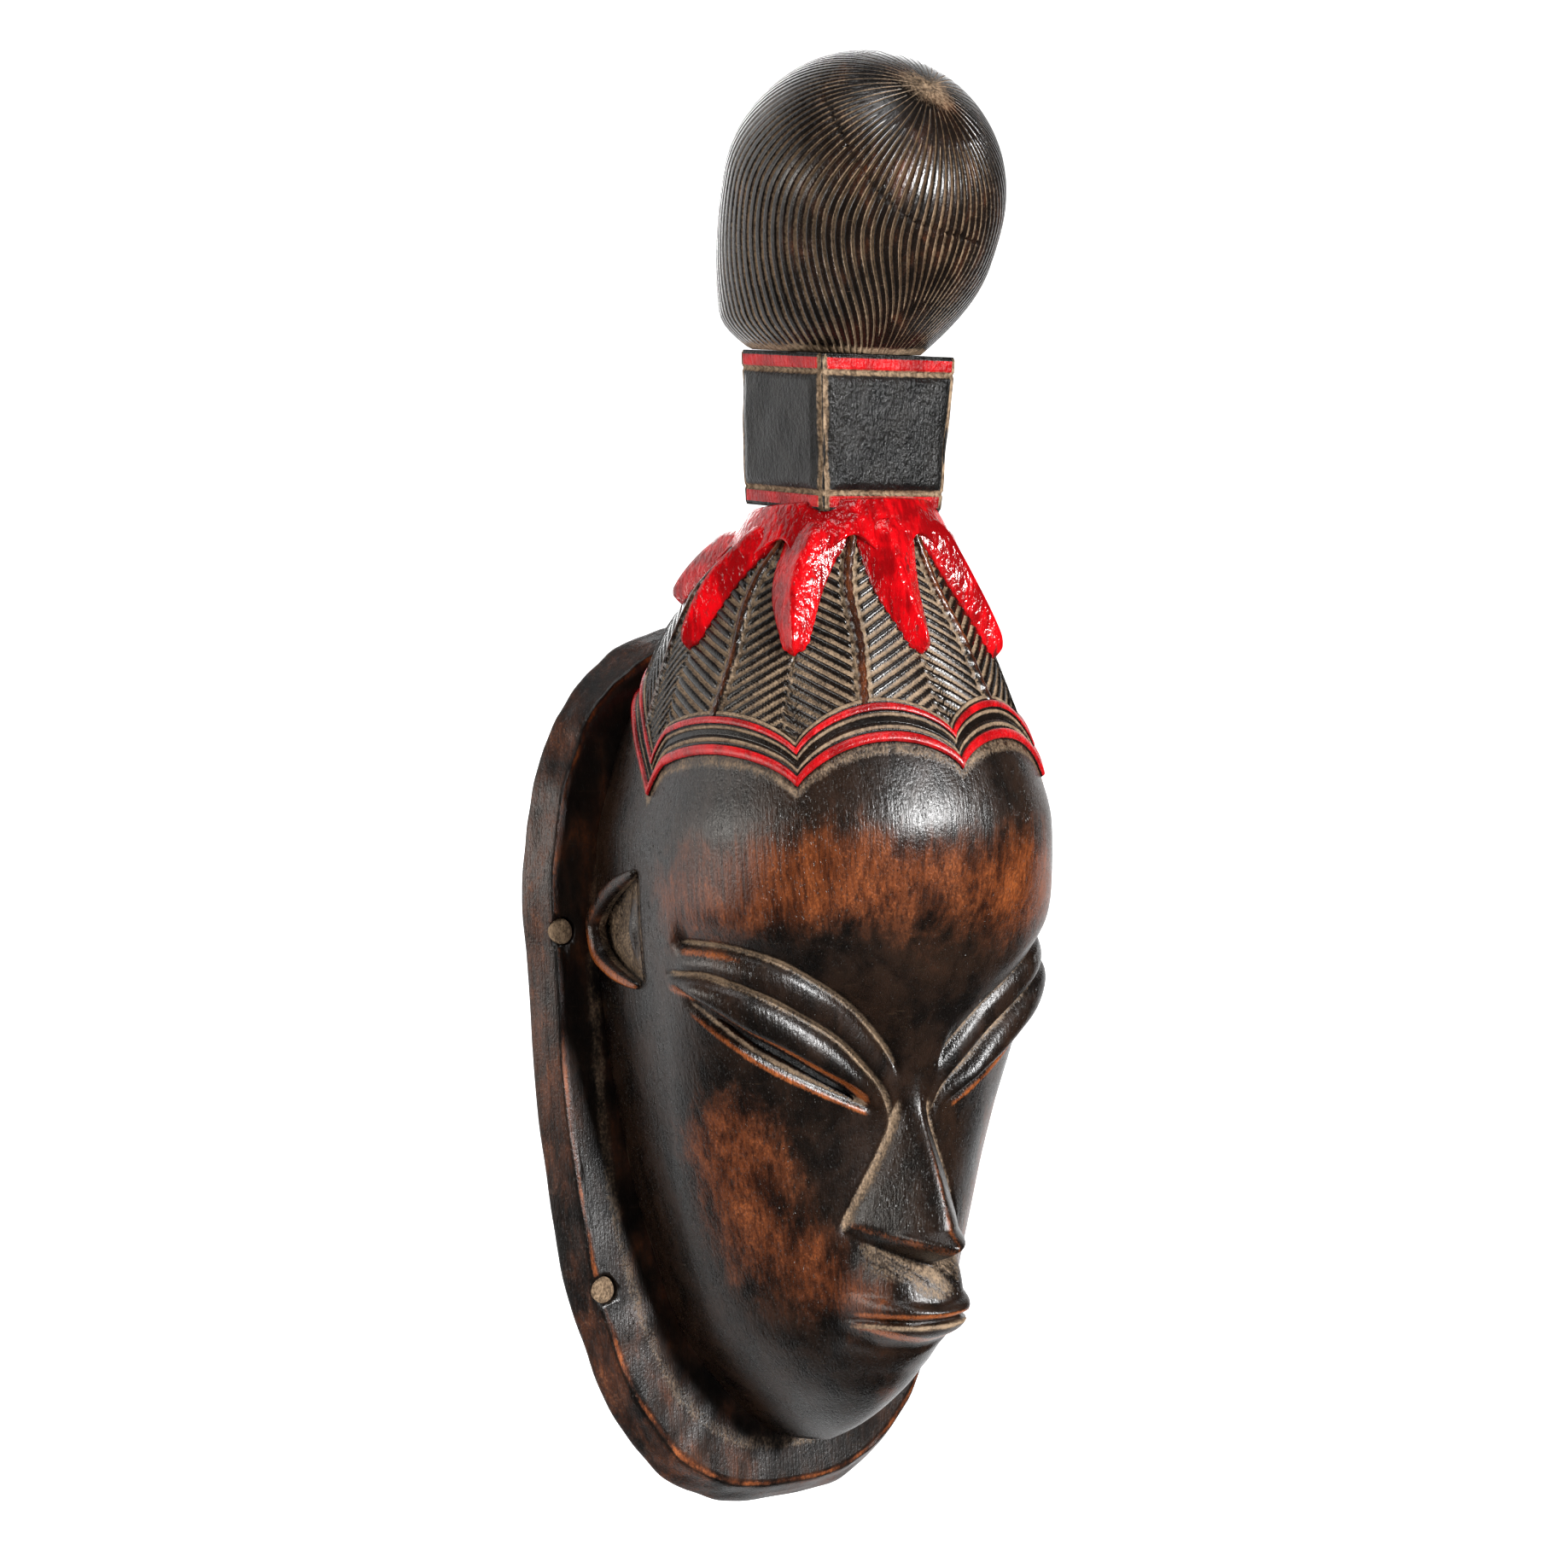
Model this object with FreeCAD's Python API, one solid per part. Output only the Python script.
"""A carved wooden face mask for hanging on a wall, with a tall hairdress.

Frame: +Z up, the mask looks along -Y, the wall is the plane Y = 0, X = 0 is the middle.
The origin is the point on the wall plane level with the axis of the hanging ring.
Inside this file heights are counted from the widest line of the rim, and depths from the
wall towards the viewer. save() moves each piece down to the origin's height.
"""
import FreeCAD, Part
import math
import os

V = FreeCAD.Vector

# ---- flat board behind the face -------------------------------------------------------
RIM_HALF_WIDTH = 81.0      # at the wall, on the widest line
RIM_RISE = 99.0            # widest line to the top edge
RIM_DROP = 175.0           # widest line to the bottom edge
RIM_THICK = 9.3
RIM_FLARE = 6.2            # the front outline is this much smaller all round
RIM_SQUARE_UP = 2.5        # outline exponents, upper and lower part
RIM_SQUARE_DOWN = 2.64

# ---- plugged lacing holes near the board's edge ---------------------------------------
PEG_R = 4.0
PEG_HEIGHTS = (5.0, -103.0)
PEG_INSET = 8.5            # hole centre to the outline at the wall
PEG_SUNK = 0.9             # each end of the plug below the wood

# ---- hollow face ----------------------------------------------------------------------
FACE_HALF_WIDTH = 59.5     # where the face meets the board
FACE_SWELL = 5.0           # the cheeks stand out this much wider in front of the board
FACE_DROP = 158.0          # widest line to the chin's lowest point
FACE_TOP = 48.0            # flat joint under the hair
SIDE_DEPTH = 50.0          # the sides run straight out to here
FOREHEAD_DEPTH = 116.0
EYE_DEPTH = 84.0           # at the root of the nose
EYE_DROP = 56.0
CHEEK_DEPTH = 80.0
CHIN_DEPTH = 73.0
CHIN_DROP = 138.0
WALL = 10.0                # thickness of the sides
FRONT_WALL = 13.0
HOLLOW_TOP = 37.0
HOLLOW_DROP = 141.0

# ---- nose, mouth and eyes -------------------------------------------------------------
NOSE_TIP_DEPTH = 97.0
NOSE_TIP_DROP = 99.0
NOSE_HALF_WIDTH = 13.0
MOUTH_DEPTH = 89.0
MOUTH_DROP = 119.0
MOUTH_HALF_WIDTH = 20.0
LIP_HEIGHT = 5.5
SLIT_HEIGHT = 3.0
SLIT_INNER = (15.0, -54.0)   # half distance between the slits, height
SLIT_OUTER = (50.0, -27.0)

# ---- ears -----------------------------------------------------------------------------
EAR_HEIGHT = 35.0
EAR_DEPTH = 19.0
EAR_PROUD = 7.0
EAR_BAND = 5.0

# ---- hair cap -------------------------------------------------------------------------
CAP_TOP = 117.0
CAP_BASE = (60.0, 64.0, 52.0)    # half width, half depth, centre depth at FACE_TOP
CAP_WAIST_HEIGHT = 85.0
CAP_WAIST = (51.0, 51.0, 49.5)
CAP_CROWN = (29.0, 29.0, 60.5)   # at CAP_TOP

# ---- scalloped hairline ---------------------------------------------------------------
SCALLOP_STEP = 45.0
SCALLOP_R = 30.0
SCALLOP_LIFT = 1.5          # lowest points above the flat joint
BAND_HEIGHT = 17.0
BAND_PROUD = 2.6

# ---- hanging petals and their collar --------------------------------------------------
PETALS = 8
PETAL_WIDTH = 19.0
PETAL_TIP = 84.0
PETAL_PROUD = 5.0
COLLAR_HEIGHT = 10.0
COLLAR_OVERHANG = 5.6            # beyond the crown, so that it covers the petals' tops
COLLAR_DRAW_IN = 5.0             # the collar's top is this much smaller

# ---- finial ---------------------------------------------------------------------------
FINIAL_LEAN = 9.0                # degrees forward
BLOCK_HEIGHT = 46.0
BLOCK_BASE = 45.0                # width across the bottom
BLOCK_TOP = 51.0
BLOCK_DEPTH = 42.0
BLOCK_EDGE = 2.0
KNOT_R = 42.4
KNOT_LEAN = 25.5
KNOT_RISE = 47.0                 # block top to the knot's widest line, up the block's axis
KNOT_FORWARD = 5.0
KNOT_TAIL = 80.0                 # length of the drawn-out lower half

# ---- hidden dowels --------------------------------------------------------------------
FACE_DOWEL_R = 3.0
FACE_DOWEL_LENGTH = 16.0
FACE_DOWEL_HEIGHTS = (20.0, -45.0, -100.0)
FACE_DOWEL_BLIND = 2.5           # wood left behind the dowel
FINIAL_DOWEL_R = 6.0
FINIAL_DOWEL_REACH = 16.0        # into each of the two pieces it joins

# ---- hanger: screwed strap, curled round a swinging ring -------------------------------
POCKET_DEPTH = 5.6
POCKET_HALF_WIDTH = 13.0
HANG_HEIGHT = 80.0               # ring axis above the widest line
STRAP_HALF_WIDTH = 6.2
STRAP_THICK = 1.0
STRAP_LENGTH = 15.0
WIRE_R = 1.2
RING_HALF_WIDTH = 9.2            # to the wire's middle
RING_LENGTH = 19.2
RING_CORNER = 2.4
RING_PLAY = 0.08
POCKET_FLOOR_GAP = 3.0           # pocket below the ring
SCREW_R = 1.5
SCREW_HEAD_R = 2.9
SCREW_HEAD_THICK = 1.1
SCREW_LENGTH = 13.0
SCREW_DROP = 9.0                 # below the ring's axis

EPS = 1.0                        # how far a cutting tool runs past what it cuts
CURL_R = WIRE_R + RING_PLAY + STRAP_THICK
RING_AXIS_DEPTH = POCKET_DEPTH - CURL_R


def at(x, depth, height):
    return V(x, -depth, height)


def outline_half_width(height, inset=0.0):
    """Half width of the board's outline at a height."""
    up = height > 0
    reach = (RIM_RISE if up else RIM_DROP) - inset
    power = RIM_SQUARE_UP if up else RIM_SQUARE_DOWN
    share = min(abs(height) / reach, 1.0)
    return (RIM_HALF_WIDTH - inset) * (1 - share ** power) ** (1 / power)


def outline_wire(depth, inset, count=56):
    points = []
    for i in range(count):
        turn = 2 * math.pi * i / count
        c, s = math.cos(turn), math.sin(turn)
        power = RIM_SQUARE_UP if s > 0 else RIM_SQUARE_DOWN
        rise = (RIM_RISE if s > 0 else RIM_DROP) - inset
        x = (RIM_HALF_WIDTH - inset) * math.copysign(abs(c) ** (2 / power), c)
        z = rise * math.copysign(abs(s) ** (2 / power), s)
        points.append(at(x, depth, z))
    curve = Part.BSplineCurve()
    curve.interpolate(Points=points, PeriodicFlag=True)
    return Part.Wire([curve.toShape()])


def half_oval(half_width, side, front, height, steps=12):
    """The front of a section: a half ellipse from one side to the other."""
    points = []
    for i in range(steps + 1):
        turn = math.pi * i / steps
        x = half_width * math.cos(turn)
        points.append(at(x, side + (front - side) * math.sin(turn), height))
    curve = Part.BSplineCurve()
    ends = V(0, -1, 0), V(0, 1, 0)
    curve.interpolate(Points=points, InitialTangent=ends[0], FinalTangent=ends[1])
    return curve.toShape()


def face_section(height, back_half, side_half, back, side, front):
    """A D shape: flat back, straight sides, rounded front."""
    corners = [at(-back_half, back, height), at(back_half, back, height)]
    right = Part.makeLine(corners[1], at(side_half, side, height))
    left = Part.makeLine(at(-side_half, side, height), corners[0])
    rear = Part.makeLine(corners[0], corners[1])
    return Part.Wire([rear, right, half_oval(side_half, side, front, height), left])


def face_stations():
    """Height, half width at the board, swell, side depth and front depth, from chin to hair."""
    w, drop, s = FACE_HALF_WIDTH, FACE_DROP, SIDE_DEPTH
    return [
        (-drop, 0.16 * w, 0.0, 0.36 * s, 0.62 * CHIN_DEPTH),
        (-drop + 7, 0.32 * w, 0.2, 0.48 * s, 0.86 * CHIN_DEPTH),
        (-CHIN_DROP, 0.49 * w, 0.5, 0.70 * s, CHIN_DEPTH),
        (-0.74 * drop, 0.68 * w, 0.8, 0.84 * s, CHEEK_DEPTH),
        (-0.58 * drop, 0.82 * w, 1.0, 0.92 * s, CHEEK_DEPTH + 1),
        (-EYE_DROP, 0.93 * w, 1.0, 0.98 * s, EYE_DEPTH),
        (-0.17 * drop, w, 1.0, s, 0.5 * (EYE_DEPTH + FOREHEAD_DEPTH)),
        (-0.02 * drop, 1.01 * w, 1.0, s, FOREHEAD_DEPTH - 5),
        (0.42 * FACE_TOP, 1.01 * w, 0.8, s, FOREHEAD_DEPTH),
        (FACE_TOP, w, 0.5, s, FOREHEAD_DEPTH),
    ]


def face_outside():
    wires = []
    for z, half, swell, side, front in face_stations():
        wires.append(face_section(z, half, half + swell * FACE_SWELL, RIM_THICK, side, front))
    return Part.makeLoft(wires, True, False)


def face_inside():
    """The hollow, with straight sides that run back out through the board."""
    wires = []
    for z, half, swell, side, front in face_stations():
        if not -HOLLOW_DROP + 12 < z < HOLLOW_TOP - 10:
            continue
        inner = half - WALL
        wires.append(face_section(z, inner, inner + 0.5 * FACE_SWELL, -EPS, side, front - FRONT_WALL))
    low = (FACE_HALF_WIDTH - WALL) * 0.34, (FACE_HALF_WIDTH - WALL) * 0.86
    foot = face_section(-HOLLOW_DROP, low[0], low[0], -EPS, 0.5 * SIDE_DEPTH, CHIN_DEPTH - 1.6 * FRONT_WALL)
    head = face_section(HOLLOW_TOP, low[1], low[1], -EPS, SIDE_DEPTH - 8, FOREHEAD_DEPTH - 2 * FRONT_WALL)
    return Part.makeLoft([foot] + wires + [head], True, False)


def egg(centre, half_x, half_y, half_z):
    """An ellipsoid."""
    grow = FreeCAD.Matrix()
    grow.scale(half_x, half_y, half_z)
    shape = Part.makeSphere(1.0).transformGeometry(grow)
    shape.translate(centre)
    return shape


def nose():
    tip = at(0, NOSE_TIP_DEPTH, -NOSE_TIP_DROP)
    root = at(0, EYE_DEPTH + 2, -EYE_DROP + 4)
    rear = CHEEK_DEPTH - 0.6 * FRONT_WALL
    low = [at(-NOSE_HALF_WIDTH, rear, tip.z - 3), at(NOSE_HALF_WIDTH, rear, tip.z - 3), V(tip.x, tip.y, tip.z)]
    high = [at(-4, rear, root.z), at(4, rear, root.z), V(root.x, root.y, root.z)]
    wires = [Part.makePolygon(p + [p[0]]) for p in (low, high)]
    body = Part.makeLoft(wires, True, True)
    rear_wing = CHEEK_DEPTH + 1
    for side in (-1, 1):
        wing = egg(at(side * 0.6 * NOSE_HALF_WIDTH, rear_wing, -NOSE_TIP_DROP + 2), 6.5, 8.0, 7.0)
        body = body.fuse(wing)
    return body


def mouth():
    reach = MOUTH_DEPTH - CHEEK_DEPTH + 8
    lips = None
    for side in (-1, 1):
        centre = at(0, MOUTH_DEPTH - reach, -MOUTH_DROP + side * LIP_HEIGHT)
        lip = egg(centre, MOUTH_HALF_WIDTH, reach, LIP_HEIGHT + 1)
        lips = lip if lips is None else lips.fuse(lip)
    return lips


def eye_slit(side):
    """A sloping slot through the front wall, low end at the nose."""
    (x0, z0), (x1, z1) = SLIT_INNER, SLIT_OUTER
    lift = 0.5 * SLIT_HEIGHT
    near, far = SIDE_DEPTH - 15, FOREHEAD_DEPTH + EPS
    points = [at(side * x, near, z) for x, z in ((x0, z0 - lift), (x1, z1 - lift), (x1, z1 + lift), (x0, z0 + lift))]
    face = Part.Face(Part.makePolygon(points + [points[0]]))
    return face.extrude(V(0, -(far - near), 0))


def side_half_width(height):
    """Half width of the face at the board, at a height."""
    rows = [(z, half) for z, half, _, _, _ in face_stations()]
    for (z0, w0), (z1, w1) in zip(rows, rows[1:]):
        if z0 <= height <= z1:
            return w0 + (w1 - w0) * (height - z0) / (z1 - z0)
    return rows[-1][1]


def face_dowel(side, height):
    x = side * (side_half_width(height) - 0.5 * WALL)
    place = at(x, FACE_DOWEL_BLIND, height)
    return Part.makeCylinder(FACE_DOWEL_R, FACE_DOWEL_LENGTH, place, V(0, -1, 0))


def face_dowels():
    return [face_dowel(s, z) for z in FACE_DOWEL_HEIGHTS for s in (-1, 1)]


def peg_centre(side, height):
    return side * (outline_half_width(height) - PEG_INSET)


def peg_hole(side, height):
    place = at(peg_centre(side, height), -EPS, height)
    return Part.makeCylinder(PEG_R, RIM_THICK + 2 * EPS, place, V(0, -1, 0))


def peg(side, height):
    place = at(peg_centre(side, height), PEG_SUNK, height)
    return Part.makeCylinder(PEG_R, RIM_THICK - 2 * PEG_SUNK, place, V(0, -1, 0))


def pegs():
    return [peg(s, z) for z in PEG_HEIGHTS for s in (-1, 1)]


def pocket():
    """A recess in the board's back, open upwards so that the ring can stand up."""
    foot = HANG_HEIGHT - RING_LENGTH - WIRE_R - POCKET_FLOOR_GAP
    corner = at(-POCKET_HALF_WIDTH, POCKET_DEPTH, foot)
    return Part.makeBox(2 * POCKET_HALF_WIDTH, POCKET_DEPTH + EPS, RIM_RISE + EPS - foot, corner)


def back_rim(hollow):
    wires = [outline_wire(0.0, 0.0), outline_wire(RIM_THICK, RIM_FLARE)]
    board = Part.makeLoft(wires, True, True)
    holes = [peg_hole(s, z) for z in PEG_HEIGHTS for s in (-1, 1)]
    tools = [hollow, pocket(), screw_body()] + holes + face_dowels()
    return board.cut(tools)


def face_shell(outside, hollow):
    shape = outside.fuse([nose(), mouth()])
    tools = [hollow, eye_slit(-1), eye_slit(1)] + face_dowels()
    return shape.cut(tools)


def ear(side, outside):
    """A C-shaped rim that opens forwards, standing on the side of the face."""
    x0 = side * (FACE_HALF_WIDTH - 0.6 * WALL)
    reach = 0.6 * WALL + EAR_PROUD
    middle = RIM_THICK + 0.5 * EAR_DEPTH + 1.0
    ring = None
    for grow in (0.0, EAR_BAND):
        half_z, half_y = 0.5 * EAR_HEIGHT - grow, 0.75 * EAR_DEPTH - grow
        oval = Part.Ellipse(V(0, 0, 0), half_z, half_y)
        face = Part.Face(Part.Wire([oval.toShape()]))
        face.Placement = FreeCAD.Placement(at(x0, middle, 0), FreeCAD.Rotation(V(0, 1, 0), 90))
        block = face.extrude(V(side * reach, 0, 0))
        ring = block if ring is None else ring.cut(block)
    low = RIM_THICK
    keep_from = at(min(x0, x0 + side * reach) - EPS, middle + 0.25 * EAR_DEPTH, -EAR_HEIGHT)
    keep = Part.makeBox(reach + 2 * EPS, middle + 0.25 * EAR_DEPTH - low, 2 * EAR_HEIGHT, keep_from)
    return ring.common(keep).cut(outside)


def oval_wire(half_x, half_y, depth, height):
    points = []
    for i in range(24):
        turn = 2 * math.pi * i / 24
        points.append(at(half_x * math.cos(turn), depth + half_y * math.sin(turn), height))
    curve = Part.BSplineCurve()
    curve.interpolate(Points=points, PeriodicFlag=True)
    return Part.Wire([curve.toShape()])


def cap_stations(grow):
    """Ovals of the hair from below the hairline to the crown."""
    (a0, b0, c0), (a1, b1, c1), (a2, b2, c2) = CAP_BASE, CAP_WAIST, CAP_CROWN
    rise = CAP_WAIST_HEIGHT - FACE_TOP
    low = (FACE_TOP - 20.0, a0 + 2, b0 + 1, c0 - 1.5)
    mid = (FACE_TOP + 0.5 * rise, 0.5 * (a0 + a1) + 1.5, 0.5 * (b0 + b1) + 1.5, 0.5 * (c0 + c1))
    top_mid = 0.5 * (CAP_WAIST_HEIGHT + CAP_TOP)
    high = (top_mid, 0.5 * (a1 + a2) + 2, 0.5 * (b1 + b2) + 2, 0.5 * (c1 + c2))
    rows = [low, (FACE_TOP, a0, b0, c0), mid, (CAP_WAIST_HEIGHT, a1, b1, c1), high, (CAP_TOP, a2, b2, c2)]
    return [(z, a + grow, b + grow, c) for z, a, b, c in rows]


def cap_loft(grow, first=0):
    wires = [oval_wire(a, b, c, z) for z, a, b, c in cap_stations(grow)[first:]]
    return Part.makeLoft(wires, True, False)


def slab(low, high, back):
    """All space between two heights, from a depth forwards."""
    wide = 2 * RIM_HALF_WIDTH
    return Part.makeBox(2 * wide, 3 * wide, high - low, at(-wide, back + 3 * wide, low))


def hair_cap(stock):
    shape = stock.common(slab(FACE_TOP, CAP_TOP, RIM_THICK))
    return shape.cut([screw_body(), neck_dowel()])


def radial(turn):
    """Unit vector that points away from the head's axis, 0 degrees at the front."""
    t = math.radians(turn)
    return V(math.sin(t), -math.cos(t), 0)


def head_axis(height):
    return at(0, CAP_WAIST[2], height)


def arch(turn):
    """One arch of the scalloped band, as a solid that runs out from the head's axis."""
    half_chord = 0.5 * (CAP_BASE[0] + CAP_BASE[1]) * math.sin(math.radians(0.5 * SCALLOP_STEP))
    cusp = FACE_TOP + SCALLOP_LIFT
    start = head_axis(cusp - math.sqrt(SCALLOP_R ** 2 - half_chord ** 2))
    out = radial(turn)
    big = Part.makeCylinder(SCALLOP_R + BAND_HEIGHT, 2 * RIM_HALF_WIDTH, start, out)
    small = Part.makeCylinder(SCALLOP_R, 2 * RIM_HALF_WIDTH, start, out)
    ring = big.cut(small)
    reach = 3 * RIM_HALF_WIDTH
    points = [head_axis(FACE_TOP)]
    for side in (-0.5, 0.5):
        points.append(points[0] + radial(turn + side * SCALLOP_STEP) * reach)
    wedge = Part.Face(Part.makePolygon(points + [points[0]])).extrude(V(0, 0, SCALLOP_R + BAND_HEIGHT))
    return ring.common(wedge)


def hairline_band(stock):
    arches = [arch((i - 2.5) * SCALLOP_STEP) for i in range(6)]
    skin = cap_loft(BAND_PROUD).cut(stock).common(slab(FACE_TOP, CAP_TOP, RIM_THICK))
    return arches[0].fuse(arches[1:]).common(skin)


def petal(turn, stock, proud):
    """A tongue with a round tip that lies on the hair and hangs from the collar."""
    out = radial(turn)
    across = V(out.y, -out.x, 0)
    half = 0.5 * PETAL_WIDTH
    start = V(0, -CAP_CROWN[2], 0) + V(0, 0, 1)
    tip = PETAL_TIP
    left = start + across * half
    points = []
    for i in range(9):
        t = math.pi * i / 8
        side, down = math.cos(t) * half, math.sin(t) * half * 1.25
        points.append(V(start.x, start.y, tip + half * 1.25 - down) + across * side)
    points.append(V(points[-1].x, points[-1].y, CAP_TOP))
    points.append(V(left.x, left.y, CAP_TOP))
    face = Part.Face(Part.makePolygon(points + [points[0]]))
    prism = face.extrude(out * (2 * RIM_HALF_WIDTH))
    shape = prism.common(proud).cut(stock)
    return shape.common(slab(0, CAP_TOP, RIM_THICK))


def finial_turn(lean):
    return FreeCAD.Rotation(V(1, 0, 0), lean)


def finial_base():
    return at(0, CAP_CROWN[2] + 0.5 * COLLAR_DRAW_IN, CAP_TOP + COLLAR_HEIGHT)


def finial_point(forward, rise):
    """A point in the block's own leaning frame."""
    return finial_base() + finial_turn(FINIAL_LEAN).multVec(V(0, -forward, rise))


def petal_collar():
    low_r = CAP_CROWN[0] + COLLAR_OVERHANG
    lean = finial_turn(FINIAL_LEAN).multVec(V(0, 0, 1))
    rings = [
        Part.Circle(at(0, CAP_CROWN[2], CAP_TOP), V(0, 0, 1), low_r),
        Part.Circle(finial_base(), lean, low_r - COLLAR_DRAW_IN),
    ]
    shape = Part.makeLoft([Part.Wire([c.toShape()]) for c in rings], True, True)
    return shape.cut(neck_dowel())


def leaning_dowel(rise):
    place = finial_point(0, rise - FINIAL_DOWEL_REACH)
    lean = finial_turn(FINIAL_LEAN).multVec(V(0, 0, 1))
    return place, lean


def neck_dowel():
    place, lean = leaning_dowel(-0.5 * COLLAR_HEIGHT)
    return Part.makeCylinder(FINIAL_DOWEL_R, 2 * FINIAL_DOWEL_REACH + 0.5 * COLLAR_HEIGHT, place, lean)


def knot_dowel():
    place, lean = leaning_dowel(BLOCK_HEIGHT)
    return Part.makeCylinder(FINIAL_DOWEL_R, 2 * FINIAL_DOWEL_REACH, place, lean)


def square_wire(size, deep, rise):
    x, y = 0.5 * size, 0.5 * deep
    corners = [(-x, -y), (x, -y), (x, y), (-x, y)]
    points = []
    for cx, cy in corners:
        points.append(finial_point(cy, rise) + V(cx, 0, 0))
    return Part.makePolygon(points + [points[0]])


def finial_block():
    wires = [square_wire(BLOCK_BASE, BLOCK_DEPTH, 0), square_wire(BLOCK_TOP, BLOCK_DEPTH, BLOCK_HEIGHT)]
    shape = Part.makeLoft(wires, True, True)
    upright = [e for e in shape.Edges if abs(e.BoundBox.ZLength) > 0.7 * BLOCK_HEIGHT]
    shape = shape.makeChamfer(BLOCK_EDGE, upright)
    return shape.cut([neck_dowel(), knot_dowel()])


def knot_profile():
    """Half of the knot's outline: a ball above, a drawn-out half oval below."""
    points = []
    for i in range(13):
        t = math.pi * i / 12
        rise = math.cos(t) * (KNOT_R if t < math.pi / 2 else KNOT_TAIL)
        points.append(V(KNOT_R * math.sin(t), 0, rise))
    curve = Part.BSplineCurve()
    curve.interpolate(Points=points, InitialTangent=V(1, 0, 0), FinalTangent=V(-1, 0, 0))
    axis = Part.makeLine(points[-1], points[0])
    return Part.Face(Part.Wire([curve.toShape(), axis]))


def top_knot():
    shape = knot_profile().revolve(V(0, 0, 0), V(0, 0, 1), 360)
    centre = finial_point(KNOT_FORWARD, BLOCK_HEIGHT + KNOT_RISE)
    shape.Placement = FreeCAD.Placement(centre, finial_turn(KNOT_LEAN))
    size = 4 * KNOT_R
    keep = Part.makeBox(size, size, size, V(-size / 2, -size / 2, 0))
    keep.Placement = FreeCAD.Placement(finial_point(0, BLOCK_HEIGHT), finial_turn(FINIAL_LEAN)).multiply(keep.Placement)
    return shape.common(keep).cut(knot_dowel())


def screw_body():
    place = at(0, POCKET_DEPTH - STRAP_THICK, HANG_HEIGHT - SCREW_DROP)
    return Part.makeCylinder(SCREW_R, SCREW_LENGTH, place, V(0, -1, 0))


def hanger_screw():
    face = POCKET_DEPTH - STRAP_THICK
    place = at(0, face - SCREW_HEAD_THICK, HANG_HEIGHT - SCREW_DROP)
    head = Part.makeCylinder(SCREW_HEAD_R, SCREW_HEAD_THICK, place, V(0, -1, 0))
    rim = [e for e in head.Edges if abs(e.BoundBox.YMax - e.BoundBox.YMin) < 0.01 and e.BoundBox.YMax > -place.Length]
    outer = [e for e in rim if abs(e.BoundBox.YMax + (face - SCREW_HEAD_THICK)) < 0.01]
    head = head.makeFillet(0.5 * SCREW_HEAD_THICK, outer)
    return head.fuse(screw_body()).removeSplitter()


def hanger_strap():
    half, top = STRAP_HALF_WIDTH, HANG_HEIGHT
    foot = top - STRAP_LENGTH + half
    plate = Part.makeBox(2 * half, STRAP_THICK, top - foot, at(-half, POCKET_DEPTH, foot))
    end = Part.makeCylinder(half, STRAP_THICK, at(0, POCKET_DEPTH, foot), V(0, 1, 0))
    start = at(-half, RING_AXIS_DEPTH, top)
    curl = Part.makeCylinder(CURL_R, 2 * half, start, V(1, 0, 0))
    eye = Part.makeCylinder(WIRE_R + RING_PLAY, 2 * half, start, V(1, 0, 0))
    shape = plate.fuse([end, curl]).cut([eye, screw_body()])
    return shape.removeSplitter()


def bend(centre, start, axis, sweep):
    """A bent stretch of wire: a disc turned about a centre."""
    tangent = axis.cross(start - centre)
    disc = Part.Face(Part.Wire([Part.Circle(start, tangent, WIRE_R).toShape()]))
    return disc.revolve(centre, axis, sweep)


def rod(a, b):
    return Part.makeCylinder(WIRE_R, (b - a).Length, a, b - a)


def hanger_ring():
    d, top, half, r = RING_AXIS_DEPTH, HANG_HEIGHT, RING_HALF_WIDTH, RING_CORNER
    bottom = top - RING_LENGTH + half
    pieces = [rod(at(-half + r, d, top), at(half - r, d, top))]
    for side in (-1, 1):
        pieces.append(bend(at(side * (half - r), d, top - r), at(side * (half - r), d, top), V(0, side, 0), 90))
        pieces.append(rod(at(side * half, d, top - r), at(side * half, d, bottom)))
    pieces.append(bend(at(0, d, bottom), at(half, d, bottom), V(0, 1, 0), 180))
    return pieces[0].fuse(pieces[1:]).removeSplitter()


def save(name, shape):
    """Write one piece, with its height counted from the ring's axis."""
    solids = shape if isinstance(shape, list) else shape.Solids
    shape = solids[0] if len(solids) == 1 else Part.makeCompound(solids)
    shape = shape.copy()
    shape.translate(V(0, 0, -HANG_HEIGHT))
    box = shape.BoundBox
    sound = all(s.isValid() for s in solids)
    size = "%.1f x %.1f x %.1f" % (box.XLength, box.YLength, box.ZLength)
    print("%-16s %d solid(s), %s mm, %.1f cm3, valid %s" % (name, len(solids), size, shape.Volume / 1000, sound))
    shape.exportStep("parts/%s.step" % name)


def main():
    os.makedirs("parts", exist_ok=True)
    outside, hollow, stock = face_outside(), face_inside(), cap_loft(0.0)
    save("back_rim", back_rim(hollow))
    save("rim_pegs", pegs())
    save("face_shell", face_shell(outside, hollow))
    save("face_dowels", face_dowels())
    save("ear_left", ear(-1, outside))
    save("ear_right", ear(1, outside))
    save("hair_cap", hair_cap(stock))
    save("hairline_band", hairline_band(stock))
    save("petal_collar", petal_collar())
    proud = cap_loft(PETAL_PROUD)
    for i in range(PETALS):
        save("petal_%d" % (i + 1), petal(i * 360.0 / PETALS, stock, proud))
    save("finial_block", finial_block())
    save("neck_dowel", neck_dowel())
    save("knot_dowel", knot_dowel())
    save("top_knot", top_knot())
    save("hanger_strap", hanger_strap())
    save("hanger_ring", hanger_ring())
    save("hanger_screw", hanger_screw())


main()
